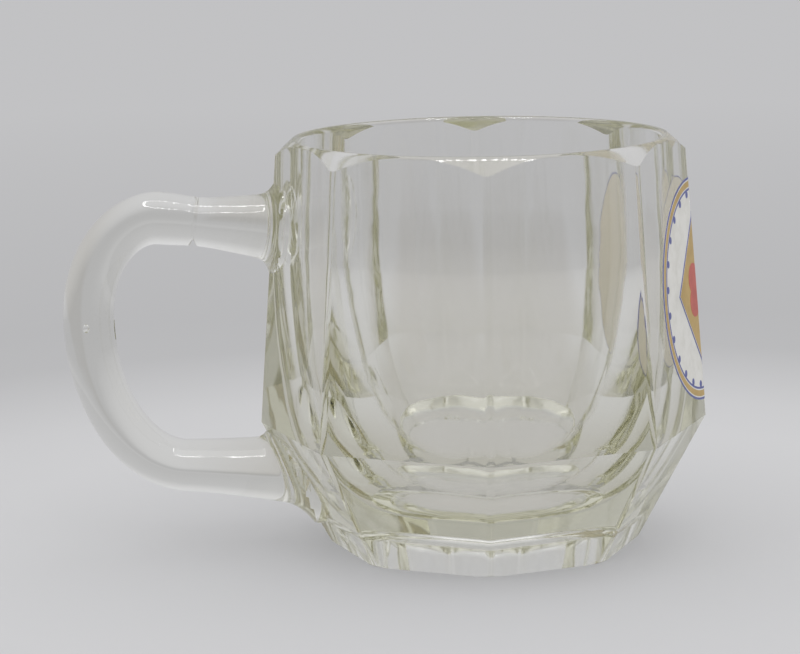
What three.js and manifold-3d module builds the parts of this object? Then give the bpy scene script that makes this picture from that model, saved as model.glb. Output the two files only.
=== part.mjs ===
// An eight-sided beer mug of pressed glass: a bowl with a thick foot, a solid glass handle fused to one
// ridge, and a round enamel badge fired on over the ridge opposite.
// Millimetres, +Z up. It stands on z = 0, with the middle of its length and width at x = 0, y = 0.
import * as THREE from 'three';
import { mergeVertices } from 'three/addons/utils/BufferGeometryUtils.js';
import Module from 'manifold-3d';

const wasm = await Module();
wasm.setup();

// Bowl, outside. Radii are from its upright axis, and the ridges are where two of its flat sides meet.
const sides = 8;
const mugHeight = 90;
const beltRadius = 49.2; // ridges at the widest level
const beltHeight = 27.2;
const shoulderLean = 4.5; // how much nearer the axis the ridges are below the lip
const footTaper = 14.9; // how much nearer the axis they are at the table
const footRounding = 1.6;
const lipDepth = 3.1; // how far the rounded lip cuts down the ridges
const lipSetback = 0.5; // from the flat sides below the lip to the outer edge of the rim's top

// Bowl, inside. The hollow is round.
const rimWidth = 1.6;
const mouthRounding = 1;
const hollowBelly = 0.2; // how much wider than the mouth it gets
const hollowShoulderHeight = 80; // where it is widest
const hollowFloorHeight = 14.5;
const wallFlatness = 3.5; // powers of its rounded outline: 2 is an ellipse, and more is nearer a box
const floorFlatness = 2.05;

// Underside
const standingWidth = 6.3; // from the ridges at the table to the recess
const recessDepth = 10;
const recessCorner = 3;

// Handle. Its centre line runs in the plane y = 0.
const handleThickness = 10.8; // seen from the side
const handleWidth = 12.4;
const upperArmHeight = 72.2; // where the upper arm meets its bend
const upperArmDroop = 1.9; // how much lower it is at the bowl
const lowerArmHeight = 17.5;
const lowerArmDroop = 1.1;
const handleStandOff = 37.4; // from the widest level's ridge to the centre line at its furthest
const handleBackHeight = 51; // level of the furthest point
const upperBendReach = 15.6;
const lowerBendReach = 24.6;
const rootFlare = 1.2; // how much wider each way the arms are where they meet the ridges
const rootFlareLength = 6.5;
const jointGap = 0.3;

// Badge. Radii and widths are measured along the glass.
const badgeHeight = 55.5;
const badgeRadius = 24.6;
const enamelThickness = 0.2;
const enamelGap = 0.3;
const hairline = 0.45;
const borderWidth = 1.3;
const lozengeHalfWidth = 13.5;
const lozengeHalfHeight = 17;
const petalRadius = 3.4;
const petalReach = 3.6; // from the badge's centre to a petal's centre
const beadRadius = 0.8;
const beadOverlap = 0.16; // how deep the beads run into their line
const beadCount = 24;

// Smoothness
const roundSteps = 96;
const cornerSteps = 7;
const hollowSteps = 18;
const rootSteps = 32;
const handleRings = 52;
const handleSides = 20;
const discSteps = 32;
const petalSteps = 7;
const beadSteps = 4;

const overcut = 1; // how far a cutter goes past the face that it cuts
const flatness = Math.cos(Math.PI / sides); // the flat sides' middles over the ridges
const shoulderRadius = beltRadius - shoulderLean;
const footRadius = beltRadius - footTaper;
const rimRadius = shoulderRadius * flatness - lipSetback;
const mouthRadius = rimRadius - rimWidth;
const recessRadius = footRadius - standingWidth;
const handleReach = beltRadius + handleStandOff;
const upperRoot = upperArmHeight - upperArmDroop;
const lowerRoot = lowerArmHeight - lowerArmDroop;
const ridgeSlope = shoulderLean / (mugHeight - lipDepth - beltHeight);
const footSlope = footTaper / beltHeight;
const footLean = Math.atan(footSlope);
const ridgeRadiusAt = (height) => beltRadius - (height - beltHeight) * ridgeSlope;

const glass = { roughness: 0.03, metalness: 0, transparent: true, opacity: 0.35 };
const materials = {
  bowlGlass: new THREE.MeshStandardMaterial({ color: 0xe6ebdf, ...glass }),
  handleGlass: new THREE.MeshStandardMaterial({ color: 0xe9ede4, ...glass }),
  whiteEnamel: new THREE.MeshStandardMaterial({ color: 0xf1efe8, roughness: 0.35, metalness: 0 }),
  ochreEnamel: new THREE.MeshStandardMaterial({ color: 0xc99a2e, roughness: 0.35, metalness: 0 }),
  blueEnamel: new THREE.MeshStandardMaterial({ color: 0x27378f, roughness: 0.35, metalness: 0 }),
  redEnamel: new THREE.MeshStandardMaterial({ color: 0xc43524, roughness: 0.35, metalness: 0 }),
};

// Turns a closed three.js geometry into a solid that can be joined and cut.
function toSolid(geometry) {
  geometry.deleteAttribute('normal');
  geometry.deleteAttribute('uv');
  const merged = mergeVertices(geometry, 1e-4);
  return new wasm.Manifold(
    new wasm.Mesh({
      numProp: 3,
      vertProperties: new Float32Array(merged.attributes.position.array),
      triVerts: new Uint32Array(merged.index.array),
    })
  );
}

function toMesh(name, solid, material) {
  const { vertProperties, triVerts } = solid.getMesh();
  const geometry = new THREE.BufferGeometry();
  geometry.setAttribute('position', new THREE.BufferAttribute(vertProperties, 3));
  geometry.setIndex(new THREE.BufferAttribute(triVerts, 1));
  const mesh = new THREE.Mesh(geometry, material);
  mesh.name = name;
  return mesh;
}

// A solid turned about the bowl's axis from [radius, height] pairs that start and end on it, lowest first.
// Its first ridge lies along +X.
function turned(profile, steps = roundSteps) {
  const points = profile.map(([radius, height]) => new THREE.Vector2(radius, height));
  return toSolid(new THREE.LatheGeometry(points, steps).rotateX(Math.PI / 2));
}

// Points of an elliptical quarter turn about a centre, from one angle to another in degrees.
function bend([x, y], [radiusX, radiusY], from, to, steps = cornerSteps) {
  return Array.from({ length: steps + 1 }, (_, i) => {
    const angle = THREE.MathUtils.degToRad(from + ((to - from) * i) / steps);
    return [x + radiusX * Math.cos(angle), y + radiusY * Math.sin(angle)];
  });
}

// The faceted outside of the bowl, with its flat sides moved out by an offset.
function facetedSolid(offset = 0) {
  const out = offset / flatness;
  return turned(
    [
      [0, 0],
      [footRadius + out, 0],
      [beltRadius + out, beltHeight],
      [ridgeRadiusAt(mugHeight) + out, mugHeight],
      [0, mugHeight],
    ],
    sides
  );
}

// The round envelope that cuts the scallops of the lip and rounds the foot off into the ridges above it.
function roundEnvelope() {
  const clear = beltRadius + overcut;
  const lipHeight = mugHeight - lipDepth;
  const footFlat = footRadius - footRounding * (1 / Math.cos(footLean) - footSlope);
  const footEnd = -THREE.MathUtils.radToDeg(footLean);
  return turned([
    [0, 0],
    ...bend([footFlat, footRounding], [footRounding, footRounding], -90, footEnd),
    [clear, beltHeight],
    [clear, lipHeight - overcut],
    [shoulderRadius + overcut, lipHeight - overcut],
    ...bend([rimRadius, lipHeight], [shoulderRadius - rimRadius, lipDepth], 0, 90),
    [0, mugHeight],
  ]);
}

// The round bottom and the wall of the hollow in one smooth line, from the axis out and up.
function hollowOutline() {
  const widest = mouthRadius + hollowBelly;
  const rise = hollowShoulderHeight - hollowFloorHeight;
  return Array.from({ length: hollowSteps + 1 }, (_, i) => {
    const angle = (i * Math.PI) / 2 / hollowSteps;
    const out = Math.sin(angle) ** (2 / wallFlatness);
    const down = Math.cos(angle) ** (2 / floorFlatness);
    return [widest * out, hollowShoulderHeight - rise * down];
  });
}

// The hollow that is drunk from, carried on above the rim so that it cuts clean through.
function hollowSolid() {
  const mouthHeight = mugHeight - mouthRounding;
  return turned([
    ...hollowOutline(),
    ...bend([mouthRadius + mouthRounding, mouthHeight], [mouthRounding, mouthRounding], 180, 90),
    [mouthRadius + mouthRounding, mugHeight + overcut],
    [0, mugHeight + overcut],
  ]);
}

function recessSolid() {
  const cornerCentre = [recessRadius - recessCorner, recessDepth - recessCorner];
  return turned([
    [0, -overcut],
    [recessRadius, -overcut],
    ...bend(cornerCentre, [recessCorner, recessCorner], 0, 90),
    [0, recessDepth],
  ]);
}

function bowlSolid() {
  return facetedSolid().intersect(roundEnvelope()).subtract(hollowSolid()).subtract(recessSolid());
}

// The handle's centre line as seen from the side, from inside the upper wall round to inside the lower one.
function handleCentreLine() {
  const upperArm = handleReach - upperBendReach;
  const lowerArm = handleReach - lowerBendReach;
  const side = new THREE.Path();
  side.moveTo(-rimRadius, upperRoot);
  side.lineTo(-upperArm, upperArmHeight);
  side.absellipse(
    -upperArm, handleBackHeight, upperBendReach, upperArmHeight - handleBackHeight, Math.PI / 2, Math.PI
  );
  side.absellipse(
    -lowerArm, handleBackHeight, lowerBendReach, handleBackHeight - lowerArmHeight, Math.PI, Math.PI * 1.5
  );
  side.lineTo(-footRadius, lowerRoot);
  const points = side.getSpacedPoints(handleRings);
  return new THREE.CatmullRomCurve3(points.map(({ x, y }) => new THREE.Vector3(x, 0, y)));
}

function handleRod() {
  const section = new THREE.Shape();
  section.absellipse(0, 0, handleWidth / 2, handleThickness / 2, 0, Math.PI * 2);
  return toSolid(
    new THREE.ExtrudeGeometry(section, {
      steps: handleRings,
      curveSegments: handleSides / 2,
      extrudePath: handleCentreLine(),
      bevelEnabled: false,
    })
  );
}

// The swelling where an arm is fused to a ridge. It widens all the way in to the flat sides, which fall
// away from the ridge.
function handleRoot(ridgeRadius, height) {
  const thin = handleThickness / 2 - overcut;
  const spread = (rootFlare + overcut) / rootFlareLength;
  const length = rootFlareLength * 2;
  const flare = new THREE.CylinderGeometry(thin + spread * length, thin, length, rootSteps);
  const middle = ridgeRadius + rootFlareLength - length / 2;
  return toSolid(flare.rotateZ(-Math.PI / 2).translate(-middle, 0, height));
}

function handleSolid() {
  return handleRod()
    .add(handleRoot(ridgeRadiusAt(upperRoot), upperRoot))
    .add(handleRoot(footRadius + lowerRoot * footSlope, lowerRoot))
    .subtract(facetedSolid(jointGap));
}

// One layer of enamel lies a gap above the glass, and the next lies a gap above that.
function enamelFilm(layer) {
  const inside = enamelGap + layer * (enamelThickness + enamelGap);
  return facetedSolid(inside + enamelThickness).subtract(facetedSolid(inside));
}

// Lays a flat drawing of the badge over its ridge, each half on its own flat side. In the drawing, x runs
// along the glass and y up it, from the badge's centre. A curve is drawn with twice as many sides as steps.
function printed(drawing, layer = 1, curveSegments = discSteps) {
  const ridge = ridgeRadiusAt(badgeHeight);
  const reach = badgeRadius * 2;
  const halves = [-1, 1].map((side) => {
    const stencil = new THREE.ExtrudeGeometry(drawing, { depth: reach, curveSegments, bevelEnabled: false })
      .translate(0, 0, -reach / 2)
      .rotateX(Math.PI / 2)
      .rotateZ(Math.PI / 2)
      .rotateZ((side * Math.PI) / sides)
      .translate(ridge, 0, badgeHeight);
    const half = new THREE.BoxGeometry(mugHeight, mugHeight, mugHeight * 2);
    half.translate(ridge, (side * mugHeight) / 2, 0);
    return toSolid(stencil).intersect(toSolid(half));
  });
  return halves[0].add(halves[1]).intersect(enamelFilm(layer));
}

function disc(radius, x = 0, y = 0) {
  return new THREE.Shape().absarc(x, y, radius, 0, Math.PI * 2);
}

function ring(outerRadius, width) {
  const shape = disc(outerRadius);
  shape.holes.push(disc(outerRadius - width));
  return shape;
}

function lozenge(inset) {
  const run = Math.hypot(lozengeHalfWidth, lozengeHalfHeight);
  const keep = 1 - (inset * run) / (lozengeHalfWidth * lozengeHalfHeight);
  const x = lozengeHalfWidth * keep;
  const y = lozengeHalfHeight * keep;
  return new THREE.Shape([
    new THREE.Vector2(x, 0),
    new THREE.Vector2(0, y),
    new THREE.Vector2(-x, 0),
    new THREE.Vector2(0, -y),
  ]);
}

function lozengeOutline() {
  const shape = lozenge(0);
  shape.holes.push(lozenge(hairline));
  return shape;
}

// The outline of four round petals that meet on the badge's upright and level lines.
function quatrefoil(growth = 0) {
  const radius = petalRadius + growth;
  const sweep = Math.PI / 4 + Math.asin((petalReach * Math.SQRT1_2) / radius);
  const shape = new THREE.Shape();
  for (let petal = 0; petal < 4; petal += 1) {
    const angle = Math.PI / 4 + (petal * Math.PI) / 2;
    const x = petalReach * Math.cos(angle);
    const y = petalReach * Math.sin(angle);
    shape.absarc(x, y, radius, angle - sweep, angle + sweep);
  }
  return shape;
}

function ochreField() {
  const shape = lozenge(hairline + enamelGap);
  shape.holes.push(quatrefoil(enamelGap));
  return shape;
}

// A hairline ring with beads that touch it all round, inside.
function beadedRing() {
  const reach = beadedRadius - hairline - beadRadius + beadOverlap;
  const beads = discsAround(beadCount, reach, beadRadius).map((bead) => printed(bead, 1, beadSteps));
  return beads.reduce((joined, bead) => joined.add(bead), printed(ring(beadedRadius, hairline)));
}

// Discs spaced evenly about the badge's centre.
function discsAround(count, reach, radius) {
  return Array.from({ length: count }, (_, i) => {
    const angle = ((i + 0.5) * Math.PI * 2) / count;
    return disc(radius, reach * Math.cos(angle), reach * Math.sin(angle));
  });
}

const borderRadius = badgeRadius - hairline - enamelGap;
const beadedRadius = borderRadius - borderWidth - enamelGap;

const mug = new THREE.Group();
mug.add(
  toMesh('mug_body', bowlSolid(), materials.bowlGlass),
  toMesh('handle', handleSolid(), materials.handleGlass),
  toMesh('badge_white_ground', printed(disc(badgeRadius), 0), materials.whiteEnamel),
  toMesh('badge_blue_rim_line', printed(ring(badgeRadius, hairline)), materials.blueEnamel),
  toMesh('badge_ochre_border', printed(ring(borderRadius, borderWidth)), materials.ochreEnamel),
  toMesh('badge_blue_beading', beadedRing(), materials.blueEnamel),
  toMesh('badge_blue_lozenge_line', printed(lozengeOutline()), materials.blueEnamel),
  toMesh('badge_ochre_lozenge', printed(ochreField(), 1, petalSteps), materials.ochreEnamel),
  toMesh('badge_red_quatrefoil', printed(quatrefoil(), 1, petalSteps), materials.redEnamel)
);

const footprint = new THREE.Box3().setFromObject(mug);
mug.position.x = -(footprint.min.x + footprint.max.x) / 2;

export default mug;
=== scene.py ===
import bpy
import bmesh
import math
from mathutils import Matrix, Vector


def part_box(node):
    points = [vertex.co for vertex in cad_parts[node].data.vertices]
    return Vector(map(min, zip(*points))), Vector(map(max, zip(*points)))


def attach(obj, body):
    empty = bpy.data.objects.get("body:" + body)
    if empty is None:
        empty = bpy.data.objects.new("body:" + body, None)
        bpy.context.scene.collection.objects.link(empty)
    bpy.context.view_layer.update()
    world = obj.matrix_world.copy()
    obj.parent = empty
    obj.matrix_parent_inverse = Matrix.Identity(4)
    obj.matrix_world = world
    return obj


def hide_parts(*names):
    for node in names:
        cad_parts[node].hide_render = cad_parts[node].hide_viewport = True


# An eight-sided pressed-glass beer mug with a fused handle and a fired enamel badge, on a pale table.
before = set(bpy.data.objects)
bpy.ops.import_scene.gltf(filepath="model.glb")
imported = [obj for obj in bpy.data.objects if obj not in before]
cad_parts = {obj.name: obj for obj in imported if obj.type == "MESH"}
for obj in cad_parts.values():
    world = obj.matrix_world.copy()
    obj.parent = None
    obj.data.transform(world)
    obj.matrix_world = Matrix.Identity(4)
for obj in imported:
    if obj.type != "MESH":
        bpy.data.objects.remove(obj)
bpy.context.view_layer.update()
scene = bpy.context.scene
mm = 0.001
bowlAxisX = sum(corner.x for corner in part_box("mug_body")) / 2
print("frame loaded, bowl axis at", round(bowlAxisX / mm, 2), "mm")

bowl = {
    "sides": 8,
    "height": 90,
    "beltRadius": 49.2,
    "beltHeight": 27.2,
    "shoulderRadius": 44.7,
    "footRadius": 34.3,
    "footRounding": 1.6,
    "lipDepth": 3.6,
    "lipCurve": 1.15,
    "rimRadius": 40.8,
    "mouthRadius": 39.2,
    "mouthRounding": 1.0,
    "ridgeSoftness": 1.2,
    "ridgeSteps": 5,
    "edgeSoftness": 0.45,
    "edgeSteps": 2,
    "edgeAngle": 25,  # degrees between faces, from which an edge is rounded
    "creaseAngle": 24,  # degrees between faces, from which the shading is broken
    "weldDistance": 2e-6,
    "lipSteps": 20,
    "lipOverrun": 1.5,  # how far the lip's curve goes on past the ridges, as a multiple of its width
    "footSteps": 8,
    "blockPast": (2, 4),  # how far the eight-sided block goes past the foot and the rim
    "clearance": 5,  # between the ridges and the round blank, where they stay apart
    "lipClearance": 8,
}
hollow = {
    "floorHeight": 14.5,
    "shoulderHeight": 66,
    "widestRadius": 39.5,
    "wallFlatness": 4.2,
    "floorFlatness": 1.5,
    "leanAside": 0.012,
    "curveSteps": 44,
    "mouthSteps": 8,
}
recess = {"radius": 28, "depth": 10, "corner": 3, "steps": 8}
fineSteps = 256
overcut = 3  # how far a tool goes past the glass that it cuts, in mm
mergeDistance = 1e-7
halfSide = math.pi / bowl["sides"]
shoulderHeight = bowl["height"] - bowl["lipDepth"]
ridgeSlope = (bowl["beltRadius"] - bowl["shoulderRadius"]) / (shoulderHeight - bowl["beltHeight"])
footSlope = (bowl["beltRadius"] - bowl["footRadius"]) / bowl["beltHeight"]
ridgeRounding = bowl["ridgeSoftness"] / math.tan(halfSide)
ridgeLoss = ridgeRounding / math.cos(halfSide) - ridgeRounding


# radius of the ridges at a height, both in mm
def ridgeRadius(height):
    if height > bowl["beltHeight"]:
        return bowl["beltRadius"] - (height - bowl["beltHeight"]) * ridgeSlope
    return bowl["footRadius"] + height * footSlope


def makeObject(name, bm):
    mesh = bpy.data.meshes.new(name)
    bm.to_mesh(mesh)
    bm.free()
    made = bpy.data.objects.new(name, mesh)
    scene.collection.objects.link(made)
    return made


# an elliptical arc from one angle to another, in degrees
def arc(centre, radii, start, end, steps=12):
    angles = [math.radians(start + (end - start) * i / steps) for i in range(steps + 1)]
    return [(centre[0] + radii[0] * math.cos(a), centre[1] + radii[1] * math.sin(a)) for a in angles]


def loopEdges(verts):
    return list({edge for vert in verts for edge in vert.link_edges})


def loopFaces(verts):
    return list({face for vert in verts for face in vert.link_faces})


# a closed round solid from radius and height pairs in mm that start and end on the axis
def turned(profile, steps):
    bm = bmesh.new()
    verts = [bm.verts.new((radius * mm, 0, height * mm)) for radius, height in profile]
    edges = [bm.edges.new(pair) for pair in zip(verts, verts[1:])]
    bmesh.ops.spin(bm, geom=verts + edges, axis=(0, 0, 1), angle=2 * math.pi, steps=steps, use_merge=True)
    bmesh.ops.remove_doubles(bm, verts=bm.verts, dist=mergeDistance)
    bmesh.ops.recalc_face_normals(bm, faces=bm.faces)
    return bm


def applyModifiers(target):
    depsgraph = bpy.context.evaluated_depsgraph_get()
    mesh = bpy.data.meshes.new_from_object(target.evaluated_get(depsgraph))
    target.modifiers.clear()
    target.data = mesh


def combine(target, tool, operation):
    joint = target.modifiers.new(operation.lower(), "BOOLEAN")
    joint.object, joint.operation, joint.solver = tool, operation, "EXACT"
    applyModifiers(target)
    bpy.data.objects.remove(tool)


# the eight leaning sides, with the ridges between them softened and the belt left crisp
def facetedBlock():
    heights = (-bowl["blockPast"][0], bowl["beltHeight"], bowl["height"] + bowl["blockPast"][1])
    profile = [(0, heights[0])]
    profile += [(ridgeRadius(height) + ridgeLoss, height) for height in heights]
    profile += [(0, heights[-1])]
    bm = turned(profile, bowl["sides"])
    bmesh.ops.dissolve_limit(bm, angle_limit=0.01, verts=bm.verts, edges=bm.edges)
    ends = {face for face in bm.faces if abs(face.normal.z) > 0.99}
    sides = [edge for edge in bm.edges if not ends.intersection(edge.link_faces)]
    ridges = [edge for edge in sides if abs(edge.verts[0].co.z - edge.verts[1].co.z) > mm]
    bmesh.ops.bevel(
        bm, geom=ridges, affect="EDGES", offset=bowl["ridgeSoftness"] * mm, offset_type="OFFSET",
        segments=bowl["ridgeSteps"], profile=0.5, material=-1, clamp_overlap=True,
    )
    return bm


# the round blank that gives the scalloped lip and the rounded foot
def roundBlank():
    rounding = bowl["footRounding"]
    footFlat = bowl["footRadius"] - rounding * (math.hypot(1, footSlope) - footSlope)
    footLean = math.degrees(math.atan(footSlope))
    clear = bowl["beltRadius"] + bowl["clearance"]
    lipWidth = bowl["shoulderRadius"] - bowl["rimRadius"]
    profile = [(0, 0)]
    profile += arc((footFlat, rounding), (rounding, rounding), -90, -footLean, bowl["footSteps"])
    profile += [(clear, bowl["beltHeight"]), (clear, shoulderHeight - bowl["lipClearance"])]
    for i in range(bowl["lipSteps"], -1, -1):
        out = bowl["lipOverrun"] * i / bowl["lipSteps"]
        drop = bowl["lipDepth"] * out ** bowl["lipCurve"]
        profile.append((bowl["rimRadius"] + lipWidth * out, bowl["height"] - drop))
    profile.append((0, bowl["height"]))
    return turned(profile, fineSteps)


# the hollow's round bottom and nearly upright wall as one smooth curve
def hollowBlank():
    rounding = bowl["mouthRounding"]
    edgeRadius = bowl["mouthRadius"] + rounding
    rise = hollow["shoulderHeight"] - hollow["floorHeight"]
    profile = []
    for i in range(hollow["curveSteps"] + 1):
        angle = math.radians(90 * i / hollow["curveSteps"])
        out = math.sin(angle) ** (2 / hollow["wallFlatness"])
        down = math.cos(angle) ** (2 / hollow["floorFlatness"])
        profile.append((hollow["widestRadius"] * out, hollow["shoulderHeight"] - rise * down))
    edgeCentre = (edgeRadius, bowl["height"] - rounding)
    profile += arc(edgeCentre, (rounding, rounding), 180, 90, hollow["mouthSteps"])
    profile += [(edgeRadius, bowl["height"] + overcut), (0, bowl["height"] + overcut)]
    bm = turned(profile, fineSteps)
    for vert in bm.verts:
        vert.co.x += hollow["leanAside"] * (bowl["height"] * mm - vert.co.z)
    return bm


# the round hollow under the foot
def recessBlank():
    corner, radius, depth = recess["corner"], recess["radius"], recess["depth"]
    profile = [(0, -overcut), (radius, -overcut)]
    profile += arc((radius - corner, depth - corner), (corner, corner), 0, 90, recess["steps"])
    profile.append((0, depth))
    return turned(profile, fineSteps)


handle = {
    "thickness": 11.1,
    "width": 12.4,
    "upperArmHeight": 72.9,
    "upperArmDroop": 2.7,
    "lowerArmHeight": 17.5,
    "lowerArmDroop": 2.1,
    "reach": 86.6,
    "backHeight": 51,
    "upperBendReach": 15.6,
    "lowerBendReach": 21.6,
    "upperEnd": 40.6,
    "lowerEnd": 33.2,
    "upperSwell": {"amount": 0.37, "length": 20, "fillet": 3.0, "share": 0.97},
    "lowerSwell": {"amount": 0.38, "length": 32, "fillet": 4.6, "share": 0.97},
    "bump": 0.45,
    "bumpDistance": 70,
    "bumpLength": 6.5,
    "waist": 0.25,
    "waistDistance": 61.5,
    "waistLength": 5,
    "markDistance": 62.6,
    "markWidth": 0.2,
    "markDepth": 0.2,
    "nickDepth": 1.7,
    "nickWidth": 0.5,
    "nickSharpness": 4,  # how closely the nick keeps to the rod's underside
    "finHeight": 0.15,
    "finMiddle": 48,
    "finLength": 8,
    "finHalfWidth": 0.05,  # as a share of the rod's half width
    "sectionSteps": 44,
    "pathSteps": 210,
    "bendSteps": (30, 40),
    "markStep": 0.17,  # between the closer sections round the mould mark
    "markSections": 9,
}
bubble = {"place": (86.9, -1.2, 49.3), "radii": (0.5, 0.5, 0.95), "steps": (20, 14)}


# the handle's centre line seen from the side, as distance from the bowl's axis and height in mm
def handlePath():
    h = handle
    upperBend = (h["upperBendReach"], h["upperArmHeight"] - h["backHeight"])
    lowerBend = (h["lowerBendReach"], h["backHeight"] - h["lowerArmHeight"])
    points = [(h["upperEnd"], h["upperArmHeight"] - h["upperArmDroop"])]
    points += arc((h["reach"] - upperBend[0], h["backHeight"]), upperBend, 90, 0, h["bendSteps"][0])
    points += arc((h["reach"] - lowerBend[0], h["backHeight"]), lowerBend, 0, -90, h["bendSteps"][1])[1:]
    points.append((h["lowerEnd"], h["lowerArmHeight"] - h["lowerArmDroop"]))
    return points


# points along a line with their directions, at even distances and closer together round one of them
def spread(points, steps, closeAt):
    lengths = [0]
    for a, b in zip(points, points[1:]):
        lengths.append(lengths[-1] + math.dist(a, b))
    more = range(-handle["markSections"], handle["markSections"] + 1)
    distances = [lengths[-1] * i / steps for i in range(steps + 1)]
    distances += [closeAt + handle["markStep"] * i for i in more]
    spots = []
    for along in sorted(distances):
        k = next((j for j in range(1, len(lengths)) if lengths[j] >= along - 1e-9), len(lengths) - 1)
        part = (along - lengths[k - 1]) / (lengths[k] - lengths[k - 1])
        spots.append(Vector(points[k - 1]).lerp(Vector(points[k]), part))
    last = len(spots) - 1
    directions = [(spots[min(i + 1, last)] - spots[max(i - 1, 0)]).normalized() for i in range(last + 1)]
    return list(zip(spots, directions))


def hump(value, middle, length):
    return math.exp(-(((value - middle) / length) ** 2))


# how far the glass of the handle spreads near the bowl, from the distance to the bowl's flat sides in mm
def rootSpread(away, swell):
    near = min(1, max(0, 1 - away / swell["length"]))
    close = min(1, max(0, 1 - away / swell["fillet"]))
    # a share just under 1 keeps the fillet from standing upright at its end
    fillet = swell["fillet"] * (1 - math.sqrt(1 - close * close * swell["share"]))
    return 1 + swell["amount"] * near * near, fillet


# the mould's marks on the handle, as mm in or out of its round surface
def handleMarks(spot, up, across):
    h = handle
    onSeam = abs(across) < h["finHalfWidth"] and up < 0
    marks = h["finHeight"] * onSeam * hump(spot.y, h["finMiddle"], h["finLength"])
    if spot.y < h["backHeight"]:
        return marks
    marks += h["bump"] * max(0, up) * hump(spot.x, h["bumpDistance"], h["bumpLength"])
    marks -= h["waist"] * hump(spot.x, h["waistDistance"], h["waistLength"])
    marks -= h["markDepth"] * hump(spot.x, h["markDistance"], h["markWidth"])
    under = max(0, -up) ** h["nickSharpness"]
    marks -= h["nickDepth"] * under * hump(spot.x, h["markDistance"], h["nickWidth"])
    return marks


def handleRod():
    h = handle
    bm = bmesh.new()
    ring = bmesh.ops.create_circle(bm, cap_ends=False, segments=h["sectionSteps"], radius=1)["verts"]
    edges = loopEdges(ring)
    rings = [list(ring)]
    stations = spread(handlePath(), h["pathSteps"], h["markDistance"] - h["upperEnd"])
    for _ in stations[1:]:
        grown = bmesh.ops.extrude_edge_only(bm, edges=edges)["geom"]
        edges = [part for part in grown if isinstance(part, bmesh.types.BMEdge)]
        verts = [part for part in grown if isinstance(part, bmesh.types.BMVert)]
        rings.append(verts)
    for verts, (spot, direction) in zip(rings, stations):
        angles = [math.atan2(vert.co.y, vert.co.x) for vert in verts]
        outward = Vector((-direction.y, direction.x))
        for vert, angle in zip(verts, angles):
            across, up = math.cos(angle), math.sin(angle)
            rough = spot + outward * up * h["thickness"] / 2
            side = across * h["width"] / 2
            away = rough.x - ridgeRadius(rough.y) + abs(side) * math.tan(halfSide)
            upper = spot.y > h["backHeight"]
            scale, flare = rootSpread(away, h["upperSwell"] if upper else h["lowerSwell"])
            marks = handleMarks(spot, up, across)
            lean = outward.y * up * flare * (0 if upper else footSlope)
            place = spot + outward * up * (h["thickness"] / 2 * scale + marks + flare) + Vector((lean, 0))
            side = across * (h["width"] / 2 * scale + flare + marks)
            vert.co = (-place.x * mm, side * mm, place.y * mm)
    for loop in (rings[0], rings[-1]):
        openEdges = [edge for edge in loopEdges(loop) if len(edge.link_faces) == 1]
        bmesh.ops.contextual_create(bm, geom=loop + openEdges)
    bmesh.ops.recalc_face_normals(bm, faces=bm.faces)
    return bm


# a closed bubble inside the handle, with its faces turned towards the air in it
def addBubble(bm):
    x, y, z = bubble["place"]
    around, down = bubble["steps"]
    verts = bmesh.ops.create_uvsphere(bm, u_segments=around, v_segments=down, radius=1)["verts"]
    bmesh.ops.scale(bm, verts=verts, vec=[radius * mm for radius in bubble["radii"]])
    bmesh.ops.translate(bm, verts=verts, vec=(-x * mm, y * mm, z * mm))
    bmesh.ops.reverse_faces(bm, faces=loopFaces(verts))


def makeGlass():
    mug = makeObject("pressedGlass", facetedBlock())
    combine(mug, makeObject("blank", roundBlank()), "INTERSECT")
    combine(mug, makeObject("hollowTool", hollowBlank()), "DIFFERENCE")
    combine(mug, makeObject("recessTool", recessBlank()), "DIFFERENCE")
    combine(mug, makeObject("handleTool", handleRod()), "UNION")
    soften = mug.modifiers.new("soften", "BEVEL")
    soften.width, soften.segments = bowl["edgeSoftness"] * mm, bowl["edgeSteps"]
    soften.limit_method, soften.angle_limit = "ANGLE", math.radians(bowl["edgeAngle"])
    applyModifiers(mug)
    bm = bmesh.new()
    bm.from_mesh(mug.data)
    bmesh.ops.remove_doubles(bm, verts=bm.verts, dist=bowl["weldDistance"])
    bmesh.ops.recalc_face_normals(bm, faces=bm.faces)
    addBubble(bm)
    bmesh.ops.translate(bm, verts=bm.verts, vec=(bowlAxisX, 0, 0))
    print("glass open edges", sum(not edge.is_manifold for edge in bm.edges), "faces", len(bm.faces))
    bm.to_mesh(mug.data)
    bm.free()
    mug.data.shade_smooth()
    mug.data.set_sharp_from_angle(angle=math.radians(bowl["creaseAngle"]))
    even = mug.modifiers.new("flatSides", "WEIGHTED_NORMAL")
    even.weight, even.keep_sharp = 100, True
    return mug


# a socket that adds Math nodes when it stands in a sum or a comparison
class Sock:
    def __init__(self, nodes, socket):
        self.nodes, self.socket = nodes, socket

    def math(self, operation, *others):
        return self.nodes.add("ShaderNodeMath", {"operation": operation}, dict(enumerate((self, *others))))

    def swapped(self, operation, other):
        return self.nodes.add("ShaderNodeMath", {"operation": operation}, {0: other, 1: self})

    def __add__(self, other):
        return self.math("ADD", other)

    def __sub__(self, other):
        return self.math("SUBTRACT", other)

    def __rsub__(self, other):
        return self.swapped("SUBTRACT", other)

    def __mul__(self, other):
        return self.math("MULTIPLY", other)

    def __truediv__(self, other):
        return self.math("DIVIDE", other)

    def __lt__(self, other):
        return self.math("LESS_THAN", other)

    def __gt__(self, other):
        return self.math("GREATER_THAN", other)

    __radd__, __rmul__ = __add__, __mul__


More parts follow.
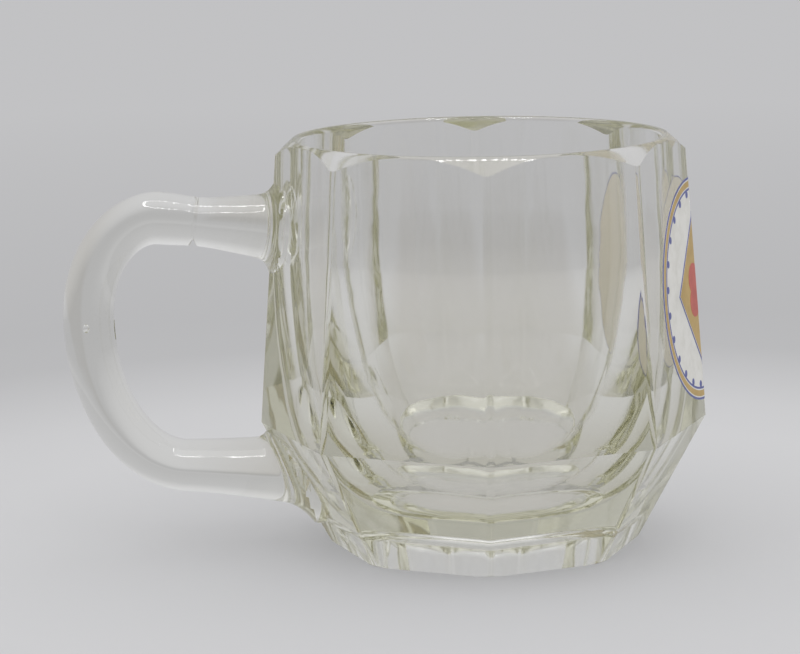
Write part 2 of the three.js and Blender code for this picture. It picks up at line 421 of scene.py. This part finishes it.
# the node tree of a material or world, emptied
class Nodes:
    def __init__(self, owner):
        owner.use_nodes = True
        self.tree = owner.node_tree
        self.tree.nodes.clear()

    def add(self, kind, settings=None, inputs=None, out=0):
        node = self.tree.nodes.new(kind)
        for name, value in (settings or {}).items():
            if name == "stops":
                self.setStops(node.color_ramp, value)
            else:
                setattr(node, name, value)
        for name, value in (inputs or {}).items():
            if isinstance(value, Sock):
                self.tree.links.new(value.socket, node.inputs[name])
            else:
                node.inputs[name].default_value = value
        return Sock(self, node.outputs[out]) if len(node.outputs) else node

    def setStops(self, ramp, stops):
        while len(ramp.elements) < len(stops):
            ramp.elements.new(1)
        for element, (position, colour) in zip(ramp.elements, stops):
            element.position, element.color = position, colour

    def mix(self, factor, first, second, blend="MIX"):
        kinds = {"data_type": "RGBA", "blend_type": blend}
        return self.add("ShaderNodeMix", kinds, {0: factor, 6: first, 7: second}, out=2)

    def split(self, vector):
        return [self.add("ShaderNodeSeparateXYZ", {}, {0: vector}, out=i) for i in range(3)]

    def noise(self, place, scale, detail=2, roughness=0.5):
        values = {"Vector": place, "Scale": scale, "Detail": detail, "Roughness": roughness}
        return self.add("ShaderNodeTexNoise", {}, values)

    # runs smoothly from start to end while the value goes from low to high
    def between(self, value, low, high, start=0.0, end=1.0):
        values = {0: value, 1: low, 2: high, 3: start, 4: end}
        return self.add("ShaderNodeMapRange", {"interpolation_type": "SMOOTHSTEP"}, values)


glassFinish = {
    "ior": 1.52,
    "absorbed": (0.795, 0.79, 0.65, 1),
    "density": 17,
    "ripple": 0.2,
    "rippleDepth": 0.001,
    "rippleScale": 60,
    "wearScale": 900,
    "wearDetail": (3, 0.6),
    "wearRange": (0.62, 0.8),
    "roughness": (0.05, 0.09),
    "handleShare": 0.3,  # of the bowl's roughness
    "handleEnd": (-0.034, -0.027),
}


def makeGlassMaterial():
    material = bpy.data.materials.new("pressedClearGlass")
    nodes = Nodes(material)
    place = nodes.add("ShaderNodeTexCoord", out=3)
    finish = glassFinish
    ripple = nodes.noise(place, finish["rippleScale"])
    values = {"Strength": finish["ripple"], "Distance": finish["rippleDepth"], "Height": ripple}
    bump = nodes.add("ShaderNodeBump", {}, values)
    wear = nodes.noise(place, finish["wearScale"], *finish["wearDetail"])
    # the handle is smoother than the bowl, whose roughness stands for the waves of a worn mould
    x = nodes.split(place)[0]
    share = nodes.between(x, *finish["handleEnd"], finish["handleShare"], 1)
    roughness = nodes.between(wear, *finish["wearRange"], *finish["roughness"]) * share
    surface = nodes.add(
        "ShaderNodeBsdfPrincipled", {},
        {
            "Base Color": (1, 1, 1, 1), "Roughness": roughness, "IOR": finish["ior"],
            "Transmission Weight": 1, "Normal": bump,
        },
    )
    values = {"Color": finish["absorbed"], "Density": finish["density"]}
    volume = nodes.add("ShaderNodeVolumeAbsorption", {}, values)
    nodes.add("ShaderNodeOutputMaterial", {}, {"Surface": surface, "Volume": volume})
    return material


mugGlass = makeGlass()
mugGlass.data.materials.clear()
mugGlass.data.materials.append(makeGlassMaterial())
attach(mugGlass, "root")
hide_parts("mug_body", "handle")
print("glass made", len(mugGlass.data.polygons), "faces")

badge = {
    "height": 55.5,
    "radius": 24.6,
    "hairline": 0.45,
    "border": 1.3,
    "gap": 0.3,
    "lozenge": (13.5, 17),
    "petalRadius": 3.4,
    "petalReach": 3.6,
    "beadRadius": 0.8,
    "beadOverlap": 0.16,
    "beadCount": 24,
    "layer": 0.07,
    "sunk": 0.03,
    "ridgeCuts": 6,  # on each side of the ridge's middle
    "roundSteps": 128,
    "beadSteps": 16,
    "petalSteps": 28,
    "creaseAngle": 30,
    "innerTilt": -0.3,  # how far a face points back towards the handle to count as against the glass
}


# a point of the flat drawing laid over the softened ridge, lifted off the glass, all in mm
def onGlass(u, v, lift):
    ridge = ridgeRadius(badge["height"] + v)
    side = -1 if u < 0 else 1
    bend = min(abs(u) / ridgeRounding, halfSide)
    rest = abs(u) - bend * ridgeRounding
    out = ridge - ridgeRounding + (ridgeRounding + lift) * math.cos(bend) - rest * math.sin(bend)
    across = (ridgeRounding + lift) * math.sin(bend) + rest * math.cos(bend)
    return Vector((out * mm + bowlAxisX, side * across * mm, (badge["height"] + v) * mm))


def everything(bm):
    return list(bm.verts) + list(bm.edges) + list(bm.faces)


# lays a flat drawing over the ridge as a thin closed film, and marks its faces against the glass
def printedFilm(name, bm, level):
    halfArc = ridgeRounding * halfSide
    cuts = badge["ridgeCuts"]
    for i in range(-cuts, cuts + 1):
        cutAt = (halfArc * i / cuts, 0, 0)
        bmesh.ops.bisect_plane(bm, geom=everything(bm), plane_co=cutAt, plane_no=(1, 0, 0), dist=1e-5)
    for vert in bm.verts:
        vert.co = onGlass(vert.co.x, vert.co.y, level - badge["sunk"])
    bmesh.ops.remove_doubles(bm, verts=bm.verts, dist=mergeDistance)
    bm.normal_update()
    bmesh.ops.reverse_faces(bm, faces=[face for face in bm.faces if face.normal.x < 0])
    bmesh.ops.solidify(bm, geom=everything(bm), thickness=-badge["layer"] * mm)
    bmesh.ops.recalc_face_normals(bm, faces=bm.faces)
    bm.normal_update()
    inner = bm.faces.layers.float.new("innerSide")
    for face in bm.faces:
        face[inner] = 1.0 if face.normal.x < badge["innerTilt"] else 0.0
    film = makeObject(name, bm)
    film.data.shade_smooth()
    film.data.set_sharp_from_angle(angle=math.radians(badge["creaseAngle"]))
    return film


def circle(bm, radius, segments=badge["roundSteps"], filled=True):
    return bmesh.ops.create_circle(bm, cap_ends=filled, segments=segments, radius=radius)["verts"]


def discDrawing(radius):
    bm = bmesh.new()
    circle(bm, radius)
    return bm


def ringDrawing(outer, width, stretch=(1, 1), segments=badge["roundSteps"]):
    bm = bmesh.new()
    loops = [circle(bm, radius, segments, False) for radius in (outer, outer - width)]
    bmesh.ops.bridge_loops(bm, edges=loopEdges(loops[0] + loops[1]))
    bmesh.ops.scale(bm, verts=bm.verts, vec=(*stretch, 1))
    return bm


def beadedDrawing(radius):
    count = badge["beadCount"]
    bm = ringDrawing(radius, badge["hairline"])
    reach = radius - badge["hairline"] - badge["beadRadius"] + badge["beadOverlap"]
    bead = circle(bm, badge["beadRadius"], badge["beadSteps"])
    turn = Matrix.Rotation(math.pi / count, 3, "Z")
    bmesh.ops.rotate(bm, verts=bead, matrix=turn)
    bmesh.ops.translate(bm, verts=bead, vec=turn @ Vector((reach, 0, 0)))
    bmesh.ops.spin(
        bm, geom=bead + loopEdges(bead) + loopFaces(bead), axis=(0, 0, 1),
        angle=2 * math.pi * (1 - 1 / count), steps=count - 1, use_duplicate=True,
    )
    return bm


def lozengeDrawing(inset=0.0):
    width, height = badge["lozenge"]
    keep = 1 - inset * math.hypot(width, height) / (width * height)
    bm = bmesh.new()
    circle(bm, 1, 4)
    bmesh.ops.scale(bm, verts=bm.verts, vec=(width * keep, height * keep, 1))
    return bm


def lozengeLine():
    width, height = badge["lozenge"]
    thin = badge["hairline"] * math.hypot(width, height) / (width * height)
    return ringDrawing(1, thin, (width, height), 4)


def quatrefoilDrawing():
    reach, radius = badge["petalReach"], badge["petalRadius"]
    sweep = math.pi / 4 + math.asin(reach * math.sqrt(0.5) / radius)
    bm = bmesh.new()
    middle = Vector((reach, 0, 0))
    start = bm.verts.new(middle + Matrix.Rotation(-sweep, 3, "Z") @ Vector((radius, 0, 0)))
    bmesh.ops.spin(
        bm, geom=[start], cent=middle, axis=(0, 0, 1), angle=2 * sweep, steps=badge["petalSteps"],
    )
    petal = list(bm.verts) + list(bm.edges)
    bmesh.ops.spin(bm, geom=petal, axis=(0, 0, 1), angle=1.5 * math.pi, steps=3, use_duplicate=True)
    bmesh.ops.rotate(bm, verts=bm.verts, matrix=Matrix.Rotation(math.pi / 4, 3, "Z"))
    bmesh.ops.remove_doubles(bm, verts=bm.verts, dist=1e-3)
    bmesh.ops.contextual_create(bm, geom=list(bm.verts) + list(bm.edges))
    return bm


# the colours and glow for the side against the glass are painted light: that side is painted a little
# lighter and glows, so that it shows brighter than the light on it
enamelFinish = {
    "white_enamel": {
        "colour": (0.80, 0.79, 0.75, 1), "faded": (0.70, 0.69, 0.64, 1),
        "paintedBackLight": (0.9, 0.85, 0.73, 1), "paintedGlow": 0.19,
    },
    "ochre_enamel": {
        "colour": (0.52, 0.34, 0.075, 1), "faded": (0.44, 0.28, 0.06, 1),
        "paintedBackLight": (0.52, 0.34, 0.075, 1), "paintedGlow": 0.0,
    },
    "blue_enamel": {
        "colour": (0.045, 0.06, 0.29, 1), "faded": (0.07, 0.09, 0.33, 1),
        "paintedBackLight": (0.08, 0.11, 0.5, 1), "paintedGlow": 0.1,
    },
    "red_enamel": {
        "colour": (0.56, 0.075, 0.04, 1), "faded": (0.47, 0.07, 0.045, 1),
        "paintedBackLight": (0.56, 0.075, 0.04, 1), "paintedGlow": 0.0,
    },
}
enamelGrain = {
    "ior": 1.5,
    "cloudScale": 260,
    "cloudDetail": (4, 0.6),
    "cloudRange": (0.35, 0.75),
    "cloudRoughness": 0.08,
    "cloudHeight": 0.5,
    "meshScale": 2600,
    "meshDetail": 1,
    "speckScale": 1500,
    "speckDetail": (2, 0.7),
    "speckRange": (0.70, 0.78),
    "speckColour": (0.62, 0.6, 0.55, 1),
    "speckShare": 0.35,
    "speckRoughness": 0.1,
    "roughness": 0.33,
    "coat": 0.25,
    "coatRoughness": 0.12,
    "bump": 0.25,
    "bumpDepth": 0.00005,
}


def makeEnamel(slot):
    finish, grain = enamelFinish[slot], enamelGrain
    material = bpy.data.materials.new(slot)
    nodes = Nodes(material)
    place = nodes.add("ShaderNodeTexCoord", out=3)
    clouds = nodes.noise(place, grain["cloudScale"], *grain["cloudDetail"])
    cloud = nodes.between(clouds, *grain["cloudRange"])
    mesh = nodes.noise(place, grain["meshScale"], grain["meshDetail"])
    specks = nodes.noise(place, grain["speckScale"], *grain["speckDetail"])
    speck = nodes.between(specks, *grain["speckRange"])
    colour = nodes.mix(cloud, finish["colour"], finish["faded"])
    colour = nodes.mix(speck * grain["speckShare"], colour, grain["speckColour"])
    # painted light: faces against the glass are painted lighter and glow, standing in for light coming
    # through the glass onto them
    paintedBackLight = nodes.add("ShaderNodeAttribute", {"attribute_name": "innerSide"}, out=2)
    colour = nodes.mix(paintedBackLight, colour, finish["paintedBackLight"])
    lift = nodes.mix(paintedBackLight, (0, 0, 0, 1), finish["paintedBackLight"])
    worn = cloud * grain["cloudRoughness"] + speck * grain["speckRoughness"]
    height = mesh + cloud * grain["cloudHeight"]
    values = {"Strength": grain["bump"], "Distance": grain["bumpDepth"], "Height": height}
    bump = nodes.add("ShaderNodeBump", {}, values)
    surface = nodes.add(
        "ShaderNodeBsdfPrincipled", {},
        {
            "Base Color": colour, "Roughness": worn + grain["roughness"], "IOR": grain["ior"],
            "Normal": bump,
            "Coat Weight": grain["coat"], "Coat Roughness": grain["coatRoughness"],
            "Emission Color": lift, "Emission Strength": finish["paintedGlow"],
        },
    )
    nodes.add("ShaderNodeOutputMaterial", {}, {"Surface": surface})
    return material


def makeBadge():
    hairline, gap = badge["hairline"], badge["gap"]
    border = badge["radius"] - hairline - gap
    beaded = border - badge["border"] - gap
    ground = discDrawing(badge["radius"] - hairline / 2)
    rimLine = ringDrawing(badge["radius"], hairline)
    borderRing = ringDrawing(border, badge["border"])
    # each film's name, drawing, height on the one under it as a share of a layer, node and slot
    films = [
        ("badgeWhiteGround", ground, 0, "badge_white_ground", "white_enamel"),
        ("badgeBlueRimLine", rimLine, 0.4, "badge_blue_rim_line", "blue_enamel"),
        ("badgeOchreBorder", borderRing, 0.5, "badge_ochre_border", "ochre_enamel"),
        ("badgeBlueBeading", beadedDrawing(beaded), 0.5, "badge_blue_beading", "blue_enamel"),
        ("badgeBlueLozengeLine", lozengeLine(), 0.6, "badge_blue_lozenge_line", "blue_enamel"),
        ("badgeOchreLozenge", lozengeDrawing(hairline + gap), 0.5, "badge_ochre_lozenge", "ochre_enamel"),
        ("badgeRedQuatrefoil", quatrefoilDrawing(), 0.9, "badge_red_quatrefoil", "red_enamel"),
    ]
    finishes = {slot: makeEnamel(slot) for slot in enamelFinish}
    for name, drawing, raised, node, slot in films:
        film = printedFilm(name, drawing, badge["layer"] * raised)
        film.data.materials.append(finishes[slot])
        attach(film, "root")
        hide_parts(node)


makeBadge()
print("badge made")

table = {
    "radius": 4.0,
    "tones": ((0.0, 0.60), (0.12, 0.61), (0.16, 0.58), (0.24, 0.47), (0.30, 0.46), (1.0, 0.515)),
    "tint": (1, 1, 1.02),
    "shadowFade": (0.12, 0.5),
    "shadowEdges": (0.03, 0.075),
    "shadow": (0.87, 0.855, 0.825, 1),
    "lift": 0.35,  # how much of the table shows at its own brightness, whatever light falls on it
    "steps": 128,
}


def grey(value, tint=(1, 1, 1)):
    return tuple(value * part for part in tint) + (1,)


def makeTable():
    bm = bmesh.new()
    bmesh.ops.create_circle(bm, cap_ends=True, segments=table["steps"], radius=table["radius"])
    top = makeObject("table", bm)
    material = bpy.data.materials.new("paleTable")
    nodes = Nodes(material)
    place = nodes.add("ShaderNodeTexCoord", out=3)
    axis = (bowlAxisX, 0, 0)
    centred = nodes.add("ShaderNodeVectorMath", {"operation": "SUBTRACT"}, {0: place, 1: axis})
    away = nodes.add("ShaderNodeVectorMath", {"operation": "LENGTH"}, {0: centred}, out=1)
    stops = [(position, grey(value, table["tint"])) for position, value in table["tones"]]
    colour = nodes.add("ShaderNodeValToRGB", {"stops": stops}, {0: away})
    plain = nodes.add("ShaderNodeBsdfDiffuse", {}, {"Color": colour})
    # seen through glass, the table glows at its own colour, with a painted shadow round the mug that fades
    # out further back from it
    x, y, _ = nodes.split(centred)
    ahead = y.math("MINIMUM", 0)
    clear = nodes.between((x * x + ahead * ahead).math("SQRT"), *table["shadowEdges"])
    clear = clear.math("MAXIMUM", nodes.between(y, *table["shadowFade"]))
    shaded = nodes.mix(1, colour, nodes.mix(clear, table["shadow"], (1, 1, 1, 1)), "MULTIPLY")
    seen = nodes.add("ShaderNodeEmission", {}, {"Color": shaded})
    bright = nodes.add("ShaderNodeEmission", {}, {"Color": colour})
    throughGlass = nodes.add("ShaderNodeLightPath", out="Is Transmission Ray")
    # painted light: a share of the table glows at its own colour, which lightens the shadow on it
    withPaintedGlow = nodes.add("ShaderNodeMixShader", {}, {0: table["lift"], 1: plain, 2: bright})
    mixed = nodes.add("ShaderNodeMixShader", {}, {0: throughGlass, 1: withPaintedGlow, 2: seen})
    nodes.add("ShaderNodeOutputMaterial", {}, {"Surface": mixed})
    top.data.materials.append(material)


makeTable()

studio = {
    "backdrop": ((0.0, 0.485), (0.35, 0.53), (0.6, 0.68), (1.0, 0.85)),
    "lamps": 20.0,
    "light": (0.85, 1.15),  # on the object, from below the horizon to overhead
    "lightFrom": -0.1,
    "lowest": 0.05,  # height of the directions below which no lamp is seen
    "frameHalfWidth": 0.3,
    "frameFront": -0.67,
    "frameBack": 0.07,
    "stripHalfWidth": 0.028,
    "cornerRadius": 0.26,
    "bend": 1.8,
    "ceiling": 1.7,
    "beads": 42,
    "beadDark": 0.03,
    "beadEdge": (0.0, 0.5),  # from dark to bright along each bead, as the sine of its place
    "dimming": 0.93,  # of the lamps, where they are seen through glass
    "bounces": 96,
}


def makeWorld():
    world = bpy.data.worlds.new("studio")
    scene.world = world
    nodes = Nodes(world)
    place = nodes.add("ShaderNodeTexCoord", out=0)
    x, y, z = nodes.split(place)
    stops = [(position, grey(value, table["tint"])) for position, value in studio["backdrop"]]
    shown = nodes.add("ShaderNodeValToRGB", {"stops": stops}, {0: z})
    up = z.math("MAXIMUM", studio["lowest"])
    above = z > studio["lowest"]
    across = x / up
    along = y / up - across * across * studio["bend"]
    # a round-cornered loop of strip lamps overhead, bent a little backwards, round a bright ceiling
    middle = (studio["frameFront"] + studio["frameBack"]) / 2
    corner = studio["cornerRadius"]
    side = (across.math("ABSOLUTE") - (studio["frameHalfWidth"] - corner)).math("MAXIMUM", 0)
    deep = ((along - middle).math("ABSOLUTE") - (studio["frameBack"] - middle - corner)).math("MAXIMUM", 0)
    outside = (side * side + deep * deep).math("SQRT") - corner
    strip = (outside.math("ABSOLUTE") < studio["stripHalfWidth"]) * above
    turn = (along - middle).math("ARCTAN2", across)
    wave = (turn * studio["beads"]).math("SINE")
    beads = nodes.between(wave, *studio["beadEdge"], studio["beadDark"], 1)
    through = nodes.add("ShaderNodeLightPath", out="Transmission Depth") > 0.5
    direct = 1 - through * studio["dimming"]
    ceiling = nodes.mix((outside < 0) * above * direct, shown, grey(studio["ceiling"]))
    lit = nodes.mix(strip * beads * direct, ceiling, grey(studio["lamps"]))
    # what is looked at, mirrored or seen through glass is this picture, and everything else gets plain light
    seen = nodes.add("ShaderNodeLightPath", out="Is Camera Ray")
    for kind in ("Is Glossy Ray", "Is Transmission Ray"):
        seen = seen.math("MAXIMUM", nodes.add("ShaderNodeLightPath", out=kind))
    lighting = nodes.between(z, studio["lightFrom"], 1.0, *studio["light"])
    picture = nodes.add("ShaderNodeBackground", {}, {"Color": lit, "Strength": 1.0})
    lamp = nodes.add("ShaderNodeBackground", {}, {"Color": lighting, "Strength": 1.0})
    mixed = nodes.add("ShaderNodeMixShader", {}, {0: seen, 1: lamp, 2: picture})
    nodes.add("ShaderNodeOutputWorld", {}, {"Surface": mixed})


makeWorld()

# a long lens, a little above the rim and turned a little round the bowl
view = {
    "imageWidth": 800,
    "imageHeight": 654,
    "sensorWidth": 36,
    "nearest": 0.01,
    "focalPixels": 2778.7,
    "distance": 0.6125,
    "elevation": 10.40,
    "roll": 0.713,
    "turn": -1.633,
    "target": (482.46, 338.63),
    "targetHeight": 0.045,
}


# looks at the middle of the bowl so that it lands on its place in the picture
def makeCamera():
    data = bpy.data.cameras.new("camera")
    camera = bpy.data.objects.new("camera", data)
    scene.collection.objects.link(camera)
    scene.camera = camera
    data.sensor_width = view["sensorWidth"]
    data.lens = view["focalPixels"] * data.sensor_width / view["imageWidth"]
    data.clip_start = view["nearest"]
    elevation, roll = math.radians(view["elevation"]), math.radians(view["roll"])
    back = Vector((0, -math.cos(elevation), math.sin(elevation)))
    across = Vector((1, 0, 0))
    level = Matrix((across, back.cross(across), back))
    rolled = Matrix.Rotation(roll, 3, "Z")
    offsetX = view["target"][0] - view["imageWidth"] / 2
    offsetY = view["imageHeight"] / 2 - view["target"][1]
    aim = Vector((offsetX / view["focalPixels"], offsetY / view["focalPixels"], -1)).normalized()
    aimed = Vector((0, 0, -1)).rotation_difference(aim).to_matrix()
    facing = (aimed @ rolled @ level).transposed().to_4x4()
    place = Vector((0, 0, view["targetHeight"])) + back * view["distance"]
    turn = Matrix.Translation((bowlAxisX, 0, 0)) @ Matrix.Rotation(math.radians(view["turn"]), 4, "Z")
    camera.matrix_world = turn @ Matrix.Translation(place) @ facing


makeCamera()
scene.view_settings.view_transform = "Standard"
scene.cycles.max_bounces = studio["bounces"]
scene.cycles.transmission_bounces = studio["bounces"]
scene.cycles.glossy_bounces = studio["bounces"]
print("stage made")
